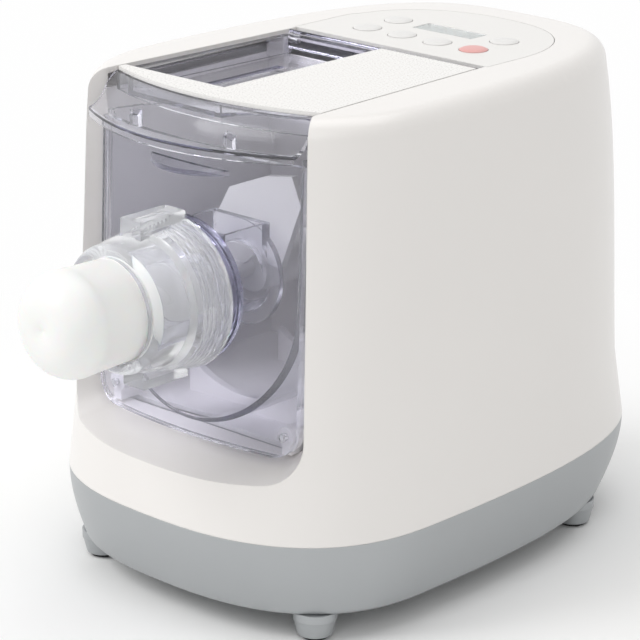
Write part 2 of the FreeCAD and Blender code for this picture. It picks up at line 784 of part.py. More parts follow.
def make_barrel():
    axis = d.axis_height
    rear = d.barrel_rear_y
    tube = rod(0, axis, barrel_seat_y, rear, d.barrel_radius)
    seat = rod(0, axis, barrel_seat_y + 0.05, barrel_seat_y + 4, d.barrel_flange_radius + 3)
    groove = ring(0, axis, barrel_seat_y - 1, barrel_seat_y + 1.5, *seal_radii)
    end_ring = rod(0, axis, rear - 3, rear, d.barrel_flange_radius)
    head = rod(0, axis, d.die_y, barrel_seat_y + 1, d.thread_radius)
    front = barrel_seat_y + 2
    half = d.hopper_half_width
    top = axis + d.hopper_rise
    hopper = box(-half, half, front, rear - 1, axis, top)
    well = box(-half + 2, half - 2, front + 4, rear - 5, axis, top + 1)
    body = fused([tube, seat.cut(groove), end_ring, head, hopper])
    return body.cut(well).cut(rod(0, axis, d.die_y - 1, rear + 1, d.barrel_bore)).removeSplitter()


shaped("extruder_barrel", make_barrel())
shaped("barrel_seal", ring(0, d.axis_height, barrel_seat_y, barrel_seat_y + 1.45,
                           seal_radii[0] - 0.05, seal_radii[1] + 0.05))


# Shaping disc, locking nut and end cap

def make_die():
    back = d.die_y - 0.05
    disc = rod(0, d.axis_height, back - d.die_thick, back, d.thread_radius - 0.3)
    for count, circle_radius, hole in ((1, 0, 1.6), (6, 6.5, 1.6), (12, 12.5, 1.6)):
        for step in range(count):
            angle = 2 * math.pi * step / count
            disc = disc.cut(rod(circle_radius * math.cos(angle), d.axis_height + circle_radius * math.sin(angle),
                                back - d.die_thick - 1, back + 1, hole))
    return disc


shaped("shaping_disc", make_die())

nut_step_y = d.nut_rear_y - 19
nut_lip_y = d.die_y - d.die_thick - 0.35


def at(radius, y):
    """A point of an outline that is turned about the extruder's axis."""
    return Vector(radius, y, d.axis_height)


def make_nut():
    axis = d.axis_height
    ridge_length = 2.6
    points = [
        at(d.thread_radius + 0.4, nut_step_y),
        at(d.nut_radius - 4, nut_step_y),
        at(d.nut_radius - 4, d.nut_rear_y),
        at(d.nut_radius + 1, d.nut_rear_y),
        at(d.nut_radius + 1, d.nut_rear_y - 2.2),
    ]
    y = d.nut_rear_y - 2.2
    for step in range(int(d.nut_ridges)):
        radius = d.nut_radius - 0.35 * step
        points.append(at(radius - 1.3, y - 0.3))
        points.append(at(radius - 1.3, y - 0.9))
        points.append(at(radius, y - 1.4))
        points.append(at(radius, y - ridge_length + 0.1))
        y -= ridge_length
    lip_start = at(d.nut_front_radius, d.nut_front_y + 5)
    points.append(at(d.nut_front_radius + 3, y - 1.5))
    points.append(lip_start)
    lip_end = at(d.nut_front_radius - 5, d.nut_front_y)
    lip_middle = at(d.nut_front_radius - 1.3, d.nut_front_y + 1.3)
    inner = [
        lip_end,
        at(d.nut_front_radius - 5.4, nut_lip_y - 1.4),
        at(d.nut_opening, nut_lip_y - 1.4),
        at(d.nut_opening, nut_lip_y),
        at(d.thread_radius + 0.4, nut_lip_y),
        points[0],
    ]
    edges = [Part.makeLine(start, end) for start, end in zip(points, points[1:])]
    edges.append(Part.Arc(lip_start, lip_middle, lip_end).toShape())
    edges += [Part.makeLine(start, end) for start, end in zip(inner, inner[1:])]
    nut = Part.Face(Part.Wire(edges)).revolve(Vector(0, 0, axis), Vector(0, 1, 0), 360)
    core = rod(0, axis, d.nut_front_y - 1, d.nut_rear_y + 1, d.nut_front_radius)
    grips = []
    for low, high in ((axis, axis + d.grip_height), (axis - d.grip_height, axis)):
        grip = box(-d.grip_half_width, d.grip_half_width, d.nut_rear_y - 30, d.nut_rear_y - 0.4, low, high)
        grips.append(grip.cut(core))
    return nut.fuse(grips).removeSplitter()


shaped("locking_nut", make_nut())


def make_cap():
    seat = nut_lip_y - 1.6
    spigot = d.nut_opening - 0.35
    shoulder = d.cap_radius
    full = d.cap_radius + 1
    dome_y = d.cap_tip_y + 20
    wall = d.cap_wall
    outer_dome = Part.Arc(at(full, dome_y), at(full - 5, d.cap_tip_y + 4.6),
                          at(4.5, d.cap_tip_y))
    inner_dome = Part.Arc(at(4.5, d.cap_tip_y + wall + 1), at(full - 6.5, d.cap_tip_y + 7),
                          at(full - wall, dome_y))
    edges = [
        Part.makeLine(at(spigot, nut_lip_y - 0.2), at(spigot, seat)),
        Part.makeLine(at(spigot, seat), at(shoulder, seat)),
        Part.makeLine(at(shoulder, seat), at(full, dome_y)),
        outer_dome.toShape(),
        Part.makeLine(at(4.5, d.cap_tip_y), at(0, d.cap_tip_y + 1.4)),
        Part.makeLine(at(0, d.cap_tip_y + 1.4), at(0, d.cap_tip_y + wall + 1.8)),
        Part.makeLine(at(0, d.cap_tip_y + wall + 1.8), inner_dome.StartPoint),
        inner_dome.toShape(),
        Part.makeLine(inner_dome.EndPoint, at(spigot - wall, seat - 4)),
        Part.makeLine(at(spigot - wall, seat - 4), at(spigot - wall, nut_lip_y - 0.2)),
        Part.makeLine(at(spigot - wall, nut_lip_y - 0.2), at(spigot, nut_lip_y - 0.2)),
    ]
    return Part.Face(Part.Wire(edges)).revolve(at(0, 0), Vector(0, 1, 0), 360)


shaped("end_cap", make_cap())


# Mixing drive: output shaft, paddle and auger turn as one

hub_front_y = d.barrel_rear_y + 2
hub_rear_y = d.bowl_rear_y - 8


def flats(radius, half_flat, y0, y1):
    """A round bar about the drive axis with two flats."""
    return rod(0, d.axis_height, y0, y1, radius).common(
        box(-radius, radius, y0, y1, d.axis_height - half_flat, d.axis_height + half_flat))


def make_shaft():
    rear = d.case_rear_y - d.case_wall - 0.3
    round_part = rod(0, d.axis_height, hub_rear_y + 1, rear, d.shaft_radius)
    return round_part.fuse(flats(d.shaft_radius, 3.8, d.shaft_front_y, hub_rear_y + 1)).removeSplitter()


def make_paddle():
    axis = d.axis_height
    reach = d.paddle_reach
    hub = rod(0, axis, hub_front_y, hub_rear_y, d.paddle_hub_radius)
    blade_outline = [(-24, 9), (-25, 22), (-15, 39), (10, 49), (28, 52), (34, 38), (20, 4)]
    corners = [Vector(x, hub_front_y + 3, axis + z) for x, z in blade_outline]
    blade = Part.Face(Part.makePolygon(corners + corners[:1])).extrude(Vector(0, 4, 0))
    front_arm = blade.cut(box(-60, 60, -200, 200, axis - 80, axis))
    parts = [hub, front_arm]
    for angle, start, end in ((200, -12, 30), (320, -30, 12)):
        arm = box(4, reach - 2, blend(start, end, 0.35), blend(start, end, 0.65), axis - 2.5, axis + 2.5)
        scraper = box(reach - 7, reach - 2, start, end, axis - 5, axis + 5)
        arm = arm.fuse(scraper)
        arm.rotate(Vector(0, 0, axis), Vector(0, -1, 0), angle)
        parts.append(arm)
    paddle = fused(parts)
    bore = flats(d.shaft_radius + 0.05, 3.85, d.shaft_front_y - 2, hub_rear_y + 1)
    socket = flats(d.auger_core + 0.05, 4.05, hub_front_y - 1, hub_front_y + 16)
    return paddle.cut(bore).cut(socket)


def make_auger():
    axis = d.axis_height
    front = d.die_y + 1.5
    back = hub_front_y - 1
    core = rod(0, axis, front, back, d.auger_core)
    spigot = flats(d.auger_core, 4, back, hub_front_y + 15)
    nose = Part.makeCone(d.auger_core, d.auger_core - 2, 1.2, Vector(0, front, axis), Vector(0, -1, 0))
    length = back - front - 8
    helix = Part.makeHelix(d.auger_pitch, length, d.auger_core - 0.5)
    inner = d.auger_core - 0.5
    depth = d.auger_radius - inner
    profile = Part.makePolygon([
        Vector(inner, 0, -1.5), Vector(inner + depth, 0, -0.9), Vector(inner + depth, 0, 0.9),
        Vector(inner, 0, 1.5), Vector(inner, 0, -1.5)])
    flight = Part.Wire(helix).makePipeShell([profile], True, True)
    flight.rotate(Vector(0, 0, 0), Vector(1, 0, 0), -90)
    flight.translate(Vector(0, front + 4, axis))
    return core.fuse([spigot, flight, nose])


shaped("output_shaft", make_shaft())
shaped("paddle", make_paddle())
shaped("auger", make_auger())


# Gears and their shafts

big_gear_span = (64, 74)
wheel_span = (78, 85)
shaped("output_gear", gear(d.gear_module, int(d.output_teeth), -90, 0, d.axis_height,
                           *big_gear_span, d.shaft_radius + 0.02))
shaped("wheel_pinion", gear(d.gear_module, int(d.small_teeth), 90 + 180 / d.small_teeth, 0, wheel_height,
                            big_gear_span[0] - 0.5, wheel_span[0] - 0.2, d.wheel_shaft_radius + 0.02))
shaped("wheel_gear", gear(d.fast_module, int(d.wheel_teeth), -90, 0, wheel_height,
                          *wheel_span, d.wheel_shaft_radius + 0.02))
shaped("motor_pinion", gear(d.fast_module, int(d.small_teeth), 90 + 180 / d.small_teeth, 0, motor_height,
                            wheel_span[0] - 0.5, wheel_span[1] + 0.5, d.motor_shaft_radius + 0.02))

case_front = d.liner_rear_y
case_inside = (case_front + d.case_wall, d.case_rear_y - d.case_wall)
bearing_outer = 13
bearing_width = 7
bush_outer = 7
shaped("wheel_shaft", rod(0, wheel_height, case_inside[0] + 0.2, case_inside[1] - 0.2, d.wheel_shaft_radius))


# Gearbox: two cast halves round the gears

def case_block(shrink, y0, y1):
    tops = [
        (d.axis_height, case_radius),
        (wheel_height, wheel_case_radius),
        (motor_height, motor_lobe),
    ]
    pieces = [rod(0, z, y0, y1, radius - shrink) for z, radius in tops]
    for (upper, _), (lower, radius) in zip(tops, tops[1:]):
        pieces.append(box(shrink - radius, radius - shrink, y0, y1, lower, upper))
    return fused(pieces)


def bearing_seat(z, radius, y0, y1):
    return rod(0, z, y0, y1, radius + 3)


def make_case_front():
    y0, y1 = case_front, d.case_split_y
    case = case_block(0, y0, y1).cut(case_block(d.case_wall, y0 + d.case_wall, y1 + 1))
    seats = [bearing_seat(d.axis_height, bearing_outer, y0, case_inside[0] + 5),
             bearing_seat(wheel_height, bush_outer, y0, case_inside[0] + 5)]
    ears = [rod(x, z, y0, y0 + 4, 7) for x, z in case_ears]
    ears += [rod(x, z, y1 - 7, y1, 5) for x, z in case_joints]
    case = case.fuse(seats + ears)
    case = case.cut(rod(0, d.axis_height, y0 + 1.5, y0 + 40, bearing_outer + 0.02))
    case = case.cut(rod(0, d.axis_height, y0 - 1, y0 + 2, d.shaft_radius + 1))
    case = case.cut(rod(0, wheel_height, y0 + 1.5, y0 + 40, bush_outer + 0.02))
    case = case.cut(case_block(d.case_wall, y1 - 9, y1 + 1))
    for x, z in case_ears + case_joints:
        case = case.cut(rod(x, z, y0 - 1, y1 + 1, d.screw_radius + 0.05))
    return case.removeSplitter()


motor_lobe = d.small_teeth * d.fast_module / 2 + 6
motor_screws = [(side * (motor_lobe + 4.5), motor_height) for side in (-1, 1)]


def make_case_rear():
    y0, y1 = d.case_split_y, d.case_rear_y
    case = case_block(0, y0, y1).cut(case_block(d.case_wall, y0 - 1, y1 - d.case_wall))
    seats = [bearing_seat(d.axis_height, bearing_outer, case_inside[1] - bearing_width, y1),
             bearing_seat(wheel_height, bush_outer, case_inside[1] - 3, y1)]
    flange = rod(0, motor_height, y1 - d.case_wall, y1, 22)
    joints = [rod(x, z, y0, y0 + 7, 5).cut(case_block(d.case_wall, y0 - 1, y0 + 8)) for x, z in case_joints]
    case = case.fuse(seats + [flange] + joints)
    case = case.cut(rod(0, d.axis_height, y0, y1 - 1.5, bearing_outer + 0.02))
    case = case.cut(rod(0, wheel_height, y0, y1 - 1.5, bush_outer + 0.02))
    case = case.cut(rod(0, motor_height, y0, y1 + 1, d.motor_shaft_radius + 2))
    for x, z in motor_screws + case_joints:
        case = case.cut(rod(x, z, y0 - 1, y1 + 1, d.screw_radius + 0.3))
    return case.removeSplitter()


shaped("gearbox_front", make_case_front())
shaped("gearbox_rear", make_case_rear())
shaped("gearbox_screws", Part.makeCompound(
    [screw(x, case_front + 4 + head_height, z, 11, Vector(0, -1, 0)) for x, z in case_ears]
    + [screw(x, d.case_split_y + 7 + head_height, z, 14, Vector(0, -1, 0)) for x, z in case_joints]))

bearing_spans = [(case_front + 1.6, case_front + 1.6 + bearing_width),
                 (case_inside[1] - bearing_width + 0.3, case_inside[1] + 0.3)]
shaped("output_bearings", Part.makeCompound(
    [ring(0, d.axis_height, y0, y1, bearing_outer, d.shaft_radius + 0.02) for y0, y1 in bearing_spans]))
shaped("wheel_bushes", Part.makeCompound(
    [ring(0, wheel_height, y0, y1, bush_outer, d.wheel_shaft_radius + 0.03)
     for y0, y1 in ((case_front + 1.6, case_front + 8), (case_inside[1] - 2.8, case_inside[1] + 1.4))]))


# Motor: can, end caps, magnets, rotor and fan

motor_front_y = d.case_rear_y
can_front_y = motor_front_y + 5
can_rear_y = d.motor_rear_y - 5
core_front_y = can_front_y + 14
core_rear_y = can_rear_y - 16
core_radius = d.motor_radius - 12.5
fan_y = d.motor_rear_y + 3


def motor_ring(y0, y1, radius, bore):
    return ring(0, motor_height, y0, y1, radius, bore)


def make_motor_cap(y0, y1, seat_y0, seat_y1):
    cap = rod(0, motor_height, y0, y1, d.motor_radius)
    cap = cap.fuse(rod(0, motor_height, seat_y0, seat_y1, 10))
    cap = cap.cut(rod(0, motor_height, y0 - 10, y1 + 10, 7.02))
    for step in range(6):
        angle = math.pi * (step + 0.5) / 3
        cap = cap.cut(rod(25 * math.cos(angle), motor_height + 25 * math.sin(angle), y0 - 1, y1 + 1, 4))
    return cap


def make_front_cap():
    cap = make_motor_cap(motor_front_y, can_front_y, motor_front_y, can_front_y + 4)
    for x, z in motor_screws:
        cap = cap.cut(rod(x, z, motor_front_y - 1, can_front_y + 1, d.screw_radius + 0.05))
    return cap


shaped("motor_front_cap", make_front_cap())
shaped("motor_can", motor_ring(can_front_y, can_rear_y, d.motor_radius, d.motor_radius - 2))
shaped("motor_rear_cap", make_motor_cap(can_rear_y, d.motor_rear_y, can_rear_y - 4, d.motor_rear_y))
shaped("motor_screws", Part.makeCompound(
    [screw(x, d.case_rear_y - d.case_wall - head_height, z, 9, Vector(0, 1, 0)) for x, z in motor_screws]))


def make_magnets():
    tube = motor_ring(core_front_y - 4, core_rear_y + 4, d.motor_radius - 2.02, core_radius + 0.6)
    arcs = [tube.common(box(-60, 60, -200, 200, motor_height + 7, motor_height + 60)),
            tube.common(box(-60, 60, -200, 200, motor_height - 60, motor_height - 7))]
    return Part.makeCompound(arcs)


shaped("motor_magnets", make_magnets())
shaped("motor_bearings", Part.makeCompound([
    motor_ring(motor_front_y + 0.5, motor_front_y + 8.5, 7, d.motor_shaft_radius + 0.02),
    motor_ring(d.motor_rear_y - 8.5, d.motor_rear_y - 0.5, 7, d.motor_shaft_radius + 0.02)]))
shaped("motor_brushes", Part.makeCompound([
    box(side * 15 - 4.7, side * 15 + 4.7, core_rear_y + 5.8, core_rear_y + 10.8, motor_height - 3, motor_height + 3)
    for side in (-1, 1)]))

shaped("rotor_shaft", rod(0, motor_height, wheel_span[0] - 1, fan_y + 10, d.motor_shaft_radius))


def make_core():
    core = motor_ring(core_front_y, core_rear_y, core_radius, d.motor_shaft_radius + 0.02)
    slots = 9
    for step in range(slots):
        angle = 360 * step / slots
        slot = box(core_radius - 8, core_radius + 1, core_front_y - 1, core_rear_y + 1,
                   motor_height - 2.2, motor_height + 2.2)
        mouth = slot
        mouth.rotate(Vector(0, 0, motor_height), Vector(0, 1, 0), angle)
        core = core.cut(mouth)
    return core


shaped("rotor_core", make_core())
shaped("rotor_windings", Part.makeCompound([
    motor_ring(core_front_y - 5, core_front_y - 0.05, core_radius - 1.5, d.motor_shaft_radius + 1),
    motor_ring(core_rear_y + 0.05, core_rear_y + 5, core_radius - 1.5, d.motor_shaft_radius + 1)]))
shaped("commutator", motor_ring(core_rear_y + 5.1, core_rear_y + 11.5, 10, d.motor_shaft_radius + 0.02))


def make_fan():
    hub = motor_ring(fan_y, fan_y + 9, 8, d.motor_shaft_radius + 0.02)
    plate = motor_ring(fan_y, fan_y + 1.5, d.motor_radius - 6, 7)
    blades = []
    for step in range(8):
        blade = box(7, d.motor_radius - 6.5, fan_y + 1, fan_y + 8, motor_height - 0.8, motor_height + 0.8)
        blade.rotate(Vector(0, 0, motor_height), Vector(0, 1, 0), 45 * step)
        blades.append(blade)
    return hub.fuse([plate] + blades).removeSplitter()


shaped("cooling_fan", make_fan())


# Control panel with its buttons, display, board and switches

deck_posts = [(side * x, y) for side in (-1, 1) for x, y in (
    (d.button_pitch, d.board_front_y + 4), (d.board_width / 2 - 4, d.board_rear_y - 4))]
button_hole = d.button_radius + d.fit_gap


def make_deck():
    deck = deck_block(0, deck_under, d.body_height)
    for x, y in deck_posts:
        deck = deck.fuse(post(x, y, board_top, deck_under, 3))
    for _, x, y in button_places:
        deck = deck.cut(post(x, y, deck_under - 1, d.body_height + 1, button_hole))
    half = d.display_width / 2
    deep = d.display_depth / 2
    deck = deck.cut(box(-half, half, display_y - deep, display_y + deep, deck_under - 1, d.body_height + 1))
    for x, y in deck_posts:
        deck = deck.cut(post(x, y, board_top - 1, deck_under - 0.5, d.screw_radius * small_scale + 0.05))
    return deck.removeSplitter()


shaped("control_panel", make_deck())

for name, x, y in button_places:
    turned(name, [
        ("0", "body_height - deck_thick - 3.3"),
        ("2.5", "body_height - deck_thick - 3.3"),
        ("2.5", "body_height - deck_thick - 1.4"),
        ("button_radius + 1.6", "body_height - deck_thick - 1.4"),
        ("button_radius + 1.6", "body_height - deck_thick - fit_gap"),
        ("button_radius", "body_height - deck_thick - fit_gap"),
        ("button_radius", "body_height + 0.2"),
        ("button_radius * 0.8", "body_height + 0.75 * button_rise"),
        ("button_radius * 0.4", "body_height + 0.97 * button_rise"),
        ("0", "body_height + button_rise"),
    ], upright=True)
    nodes[-1].Placement = Placement(Vector(x, y, 0), Rotation())

switch_top = deck_under - 3.3 - d.button_travel - 0.15
shaped("button_switches", Part.makeCompound(
    [fused([box(x - 3, x + 3, y - 3, y + 3, board_top, switch_top - 1), post(x, y, switch_top - 1.5, switch_top, 1.7)])
     for _, x, y in button_places]))

padded("control_board", "XY_Plane", "board_thick", [
    ("board_width / -2", "board_front_y"), ("board_width / 2", "board_front_y"),
    ("board_width / 2", "board_rear_y"), ("board_width / -2", "board_rear_y"),
], [(f"{x}", f"{y}", f"screw_radius * {small_scale} + 0.3") for x, y in deck_posts])
place(nodes[-1], z="board_height")


small_head = head_height * small_scale
shaped("board_screws", Part.makeCompound(
    [screw(x, y, d.board_height - small_head, 8, Vector(0, 0, 1), small_scale) for x, y in deck_posts]
    + [screw(x, y, power_board_height + d.board_thick + small_head, 8, Vector(0, 0, -1), small_scale)
       for x, y in board_posts]))

display_half = d.display_width / 2 - 0.15
display_deep = d.display_depth / 2 - 0.15
shaped("display_window", box(-display_half, display_half, display_y - display_deep, display_y + display_deep,
                             d.body_height - 1.5, d.body_height - 0.1))
shaped("display_module", box(-display_half - 2, display_half + 2, display_y - display_deep - 1.5,
                             display_y + display_deep + 1.5, board_top, deck_under - 0.1).fuse(
    box(-display_half, display_half, display_y - display_deep, display_y + display_deep,
        deck_under - 1, d.body_height - 1.55)).removeSplitter())


# Power board on the base

def make_power_board():
    board = box(-48, 48, -72, 32, power_board_height, power_board_height + d.board_thick)
    for x, y in board_posts:
        board = board.cut(post(x, y, 0, 60, d.screw_radius * small_scale + 0.3))
    return board


shaped("power_board", make_power_board())
parts_z = power_board_height + d.board_thick
shaped("power_components", Part.makeCompound([
    box(-36, -2, -58, -26, parts_z, parts_z + 27),
    post(18, -42, parts_z, parts_z + 28, 10),
    box(4, 23, -14, 2, parts_z, parts_z + 15),
    box(-30, -12, -8, 14, parts_z, parts_z + 16),
    post(31, 16, parts_z, parts_z + 18, 6),
]))


# Lid safety switch, its plunger and the mains inlet bush

switch_top_z = d.bowl_top
plunger_top = tab_bottom = d.liner_top - 0.2
shaped("lid_switch", box(switch_x - 10, switch_x + 10, switch_y - 3, d.liner_rear_y - d.liner_wall,
                         switch_top_z - 11, switch_top_z)
       .cut(post(switch_x, switch_y, switch_top_z - 6, switch_top_z + 1, 1.55)))
shaped("switch_plunger", fused([
    post(switch_x, switch_y, switch_top_z - 4, plunger_top - 0.1, 1.5),
    post(switch_x, switch_y, switch_top_z + 3, switch_top_z + 4, 2.4)]))
shaped("cord_inlet", fused([
    rod(0, inlet_height, inlet_wall_y - d.wall - 3, inlet_wall_y + 1, inlet_bore - 0.1),
    rod(0, inlet_height, inlet_wall_y - d.wall - 2.4, inlet_wall_y - d.wall - 0.4, inlet_bore + 1.2),
    rod(0, inlet_height, inlet_wall_y + 0.3, inlet_wall_y + 2.8, inlet_bore + 3)]).cut(
        rod(0, inlet_height, inlet_wall_y - 20, inlet_wall_y + 20, 3.6)))


# Lid: clear moulding with tray, S-shaped front and lip, under a white cover

cover_under = d.body_height - d.cover_thick
lid_under = cover_under - d.lid_wall


def lip_section(x):
    """The curled front of the lid at one distance from the middle."""
    part = 1 - (x / d.lid_front_half_width) ** 2
    top_y = d.lid_front_y - d.lid_front_bow * part
    lip_y = d.lip_y - d.lip_bow * part
    fall = cover_under - d.lip_height
    along = top_y - lip_y
    shares = ((0, 0), (0.2, 0.1), (0.42, 0.42), (0.6, 0.76), (0.8, 0.95), (1, 1))
    outer = [Vector(x, top_y - along * a, cover_under - fall * b) for a, b in shares]
    shift = Vector(0, 0.8, -d.lid_wall)
    inner = [point + shift for point in outer[:-1]] + [outer[-1] + Vector(0, d.lid_wall, -d.lid_wall)]
    back = Vector(0, 4, 0)
    outer_curve = Part.BSplineCurve()
    outer_curve.interpolate(outer)
    inner_curve = Part.BSplineCurve()
    inner_curve.interpolate(inner[::-1])
    drop = outer[-1] - Vector(0, 0, d.lip_drop)
    drop_in = drop + Vector(0, d.lid_wall, 0)
    return Part.Wire([
        outer_curve.toShape(),
        Part.makeLine(outer[-1], drop),
        Part.makeLine(drop, drop_in),
        Part.makeLine(drop_in, inner[-1]),
        inner_curve.toShape(),
        Part.makeLine(inner[0], inner[0] + back),
        Part.makeLine(inner[0] + back, outer[0] + back),
        Part.makeLine(outer[0] + back, outer[0]),
    ])


def make_lid():
    top = lid_plan(0, d.hinge_y, d.lid_front_y, d.lid_front_bow, lid_under, cover_under)
    half = d.lid_rear_half_width
    barrel = Part.makeCylinder(d.hinge_radius, 2 * half, Vector(-half, d.hinge_y, hinge_height), Vector(1, 0, 0))
    ends = [d.lid_front_half_width * share for share in (-1, -0.5, 0, 0.5, 1)]
    front = Part.makeLoft([lip_section(x) for x in ends], True, False)
    skirt = lid_plan(0, d.hinge_y, d.lid_front_y, d.lid_front_bow, d.tray_floor, lid_under + 0.1).cut(
        lid_plan(-d.lid_wall, d.hinge_y + 2, d.lid_front_y + 2, d.lid_front_bow, d.tray_floor - 1, lid_under + 1))
    wall = d.lid_wall
    tray = box(d.tray_left_x - wall, d.tray_right_x + wall, d.tray_front_y - wall, d.tray_rear_y + wall,
               d.tray_floor - wall, cover_under)
    tab = box(switch_x - 4, switch_x + 4, switch_y - 1.5, switch_y + 1.5, tab_bottom, lid_under + 0.5)
    hooks = [box(x - 3, x + 3, d.lip_y - 4, d.lip_y - 1, d.lip_height - 4, d.lip_height + 5) for x in (-32, 32)]
    lid = top.fuse([barrel, front, skirt, tray, tab] + hooks)
    lid = lid.cut(box(-100, 100, -200, d.hinge_y, cover_under, 300))
    lid = lid.cut(box(d.tray_left_x, d.tray_right_x, d.tray_front_y, d.tray_rear_y, d.tray_floor, 300))
    for x in (-44, -22):
        lid = lid.cut(box(x - 3, x + 3, d.tray_front_y + 22, d.tray_rear_y - 22, 200, 300))
    for side in (-1, 1):
        lid = lid.cut(Part.makeCylinder(d.hinge_pin_radius + 0.03, 20,
                                        Vector(side * (half - 9), d.hinge_y, hinge_height), Vector(side, 0, 0)))
    return lid.removeSplitter()


shaped("lid", make_lid())
shaped("lid_cover", lid_plan(-0.4, d.hinge_y - 0.1, d.lid_front_y, d.lid_front_bow, cover_under, d.body_height)
       .cut(box(-200, d.tray_right_x + 1, d.tray_front_y, 200, 200, 300)))
shaped("hinge_pins", Part.makeCompound(
    [Part.makeCylinder(d.hinge_pin_radius, 16, Vector(side * (d.lid_rear_half_width - 8), d.hinge_y, hinge_height),
                       Vector(side, 0, 0)) for side in (-1, 1)]))


# Check every object, then write one file for each piece

doc.recompute()
faults = []
for item in doc.Objects:
    if "Invalid" in item.State or "Error" in item.State:
        faults.append(f"{item.Label}: {item.State}")
for node in nodes:
    if node.Shape.isNull() or not node.Shape.isValid():
        faults.append(f"{node.Label}: shape not valid")
    elif not node.Shape.Solids:
        faults.append(f"{node.Label}: no solid")
if faults:
    raise SystemExit("part has faults: " + "; ".join(faults))

# The files' origin lies midway between the cap's tip and the rear wall, at the level of the worktop
to_origin = Vector(0, -(d.cap_tip_y + d.widest_y + d.seam_rear) / 2, 0)
os.makedirs("parts", exist_ok=True)
for node in nodes:
    shape = node.Shape.copy()
    shape.translate(to_origin)
    shape.exportStep(f"parts/{node.Label}.step")
    bounds = shape.BoundBox
    print(f"{node.Label}: {len(node.Shape.Solids)} solid, {node.Shape.Volume / 1000:.2f} cm3, "
          f"x {bounds.XMin:.1f}..{bounds.XMax:.1f} y {bounds.YMin:.1f}..{bounds.YMax:.1f} "
          f"z {bounds.ZMin:.1f}..{bounds.ZMax:.1f}")
print(len(nodes), "pieces")
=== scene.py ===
import json
import math

import bmesh
import bpy
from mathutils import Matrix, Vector


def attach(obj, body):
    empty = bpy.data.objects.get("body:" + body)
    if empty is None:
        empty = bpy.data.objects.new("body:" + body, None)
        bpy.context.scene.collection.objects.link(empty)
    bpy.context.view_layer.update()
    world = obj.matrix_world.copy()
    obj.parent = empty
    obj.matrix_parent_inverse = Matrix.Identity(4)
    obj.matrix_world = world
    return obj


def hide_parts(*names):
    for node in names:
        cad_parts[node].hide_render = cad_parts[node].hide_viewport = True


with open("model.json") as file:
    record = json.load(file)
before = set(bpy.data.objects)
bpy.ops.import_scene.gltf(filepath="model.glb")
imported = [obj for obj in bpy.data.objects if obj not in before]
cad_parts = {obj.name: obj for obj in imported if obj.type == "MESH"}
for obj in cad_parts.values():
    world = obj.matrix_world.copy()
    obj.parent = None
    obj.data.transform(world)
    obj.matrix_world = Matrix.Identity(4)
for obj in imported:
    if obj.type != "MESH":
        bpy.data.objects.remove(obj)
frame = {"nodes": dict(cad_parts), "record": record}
cadNodes = frame["nodes"]
bodyOf = {node: body for body, group in frame["record"]["behaviour"]["bodies"].items() for node in group}
slotOf = {entry["node"]: entry["material_slot"] for entry in frame["record"]["subparts"]}
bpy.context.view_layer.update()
print("frame loaded:", len(cadNodes), "CAD nodes")


# materials: each starts with a shader and the object's own coordinates
noiseBand = (0.3, 0.7)  # the part of a noise that carries its changes


def startMaterial(name):
    material = bpy.data.materials.new(name)
    material.use_nodes = True
    tree = material.node_tree
    place = tree.nodes.new("ShaderNodeTexCoord")
    return material, tree, tree.nodes["Principled BSDF"], place


def addNoise(tree, place, scale, detail=3.0, stretch=None):
    noise = tree.nodes.new("ShaderNodeTexNoise")
    noise.inputs["Scale"].default_value = scale
    noise.inputs["Detail"].default_value = detail
    source = place.outputs["Object"]
    if stretch:  # drawn out along one direction, for brushed and wound surfaces
        mapping = tree.nodes.new("ShaderNodeMapping")
        mapping.inputs["Scale"].default_value = stretch
        tree.links.new(source, mapping.inputs["Vector"])
        source = mapping.outputs["Vector"]
    tree.links.new(source, noise.inputs["Vector"])
    return noise.outputs["Fac"]


def spread(tree, factor, low, high):  # a roughness that wanders between two values
    remap = tree.nodes.new("ShaderNodeMapRange")
    remap.inputs["From Min"].default_value = noiseBand[0]
    remap.inputs["From Max"].default_value = noiseBand[1]
    remap.inputs["To Min"].default_value = low
    remap.inputs["To Max"].default_value = high
    tree.links.new(factor, remap.inputs["Value"])
    return remap.outputs["Result"]


def tint(tree, factor, dark, light):
    ramp = tree.nodes.new("ShaderNodeValToRGB")
    ramp.color_ramp.elements[0].position = noiseBand[0]
    ramp.color_ramp.elements[1].position = noiseBand[1]
    ramp.color_ramp.elements[0].color = (*dark, 1)
    ramp.color_ramp.elements[1].color = (*light, 1)
    tree.links.new(factor, ramp.inputs["Fac"])
    return ramp.outputs["Color"]


def addBump(tree, shader, height, depth, roundEdge=0):
    bump = tree.nodes.new("ShaderNodeBump")
    bump.inputs["Strength"].default_value = 1
    bump.inputs["Distance"].default_value = depth
    tree.links.new(height, bump.inputs["Height"])
    if roundEdge:  # the small moulded radius along sharp edges
        edge = tree.nodes.new("ShaderNodeBevel")
        edge.samples = 4
        edge.inputs["Radius"].default_value = roundEdge
        tree.links.new(edge.outputs["Normal"], bump.inputs["Normal"])
    tree.links.new(bump.outputs["Normal"], shader.inputs["Normal"])


